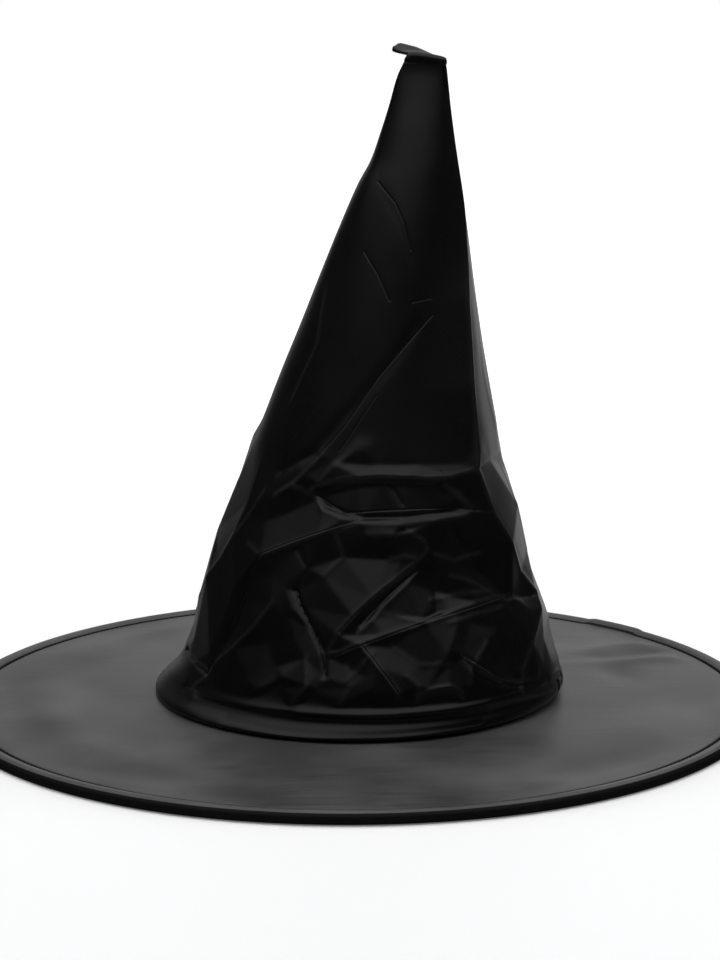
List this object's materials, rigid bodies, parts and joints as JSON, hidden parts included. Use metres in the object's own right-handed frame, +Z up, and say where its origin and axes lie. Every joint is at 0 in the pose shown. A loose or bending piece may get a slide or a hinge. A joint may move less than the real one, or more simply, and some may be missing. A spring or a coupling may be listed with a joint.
{
  "type": "witch hat",
  "caption": "Tall pointed fancy-dress hat: a leaning cloth crown, creased from being folded, on a wide round brim held flat by a springy hoop.",
  "frame": {"origin": "middle of the round brim, on the surface that the rim rests on", "axes": "+Z up through the crown, +X towards the side the crown leans to, -Y towards the front, with the crown's seam at the back on +Y"},
  "size_m": [0.38, 0.38, 0.3093],
  "materials": {
    "brim_cloth": "satin",
    "crown_cloth": "satin",
    "interlining": "matte",
    "hoop_plastic": "satin",
    "sleeve_plastic": "gloss",
    "ribbon": "matte"
  },
  "bodies": {
    "brim_and_lower_crown": {"brim_top_cloth": "brim_cloth", "brim_interlining": "interlining", "brim_under_cloth": "brim_cloth", "rim_hoop": "hoop_plastic", "hoop_sleeve": "sleeve_plastic", "head_ribbon": "ribbon", "crown_lower": "crown_cloth", "crown_fold_zone": "crown_cloth", "back_seam_lower": "crown_cloth", "back_seam_fold": "crown_cloth"},
    "upper_crown": {"crown_upper": "crown_cloth", "back_seam_upper": "crown_cloth"},
    "folded_tip": {"crown_tip": "crown_cloth"}
  },
  "joints": [
    {"name": "crown_fold", "type": "hinge", "parent": "brim_and_lower_crown", "child": "upper_crown", "pos_m": [0.0095, 0, 0.1065], "axis": [1, 0, 0], "range_deg": [-40, 40], "stiffness_Nm_per_rad": 0.05, "deforming": ["crown_fold_zone", "back_seam_fold"]},
    {"name": "tip_fold", "type": "hinge", "parent": "upper_crown", "child": "folded_tip", "pos_m": [0.0323, 0.0025, 0.3016], "axis": [1, 0, 0], "range_deg": [-60, 70]}
  ]
}
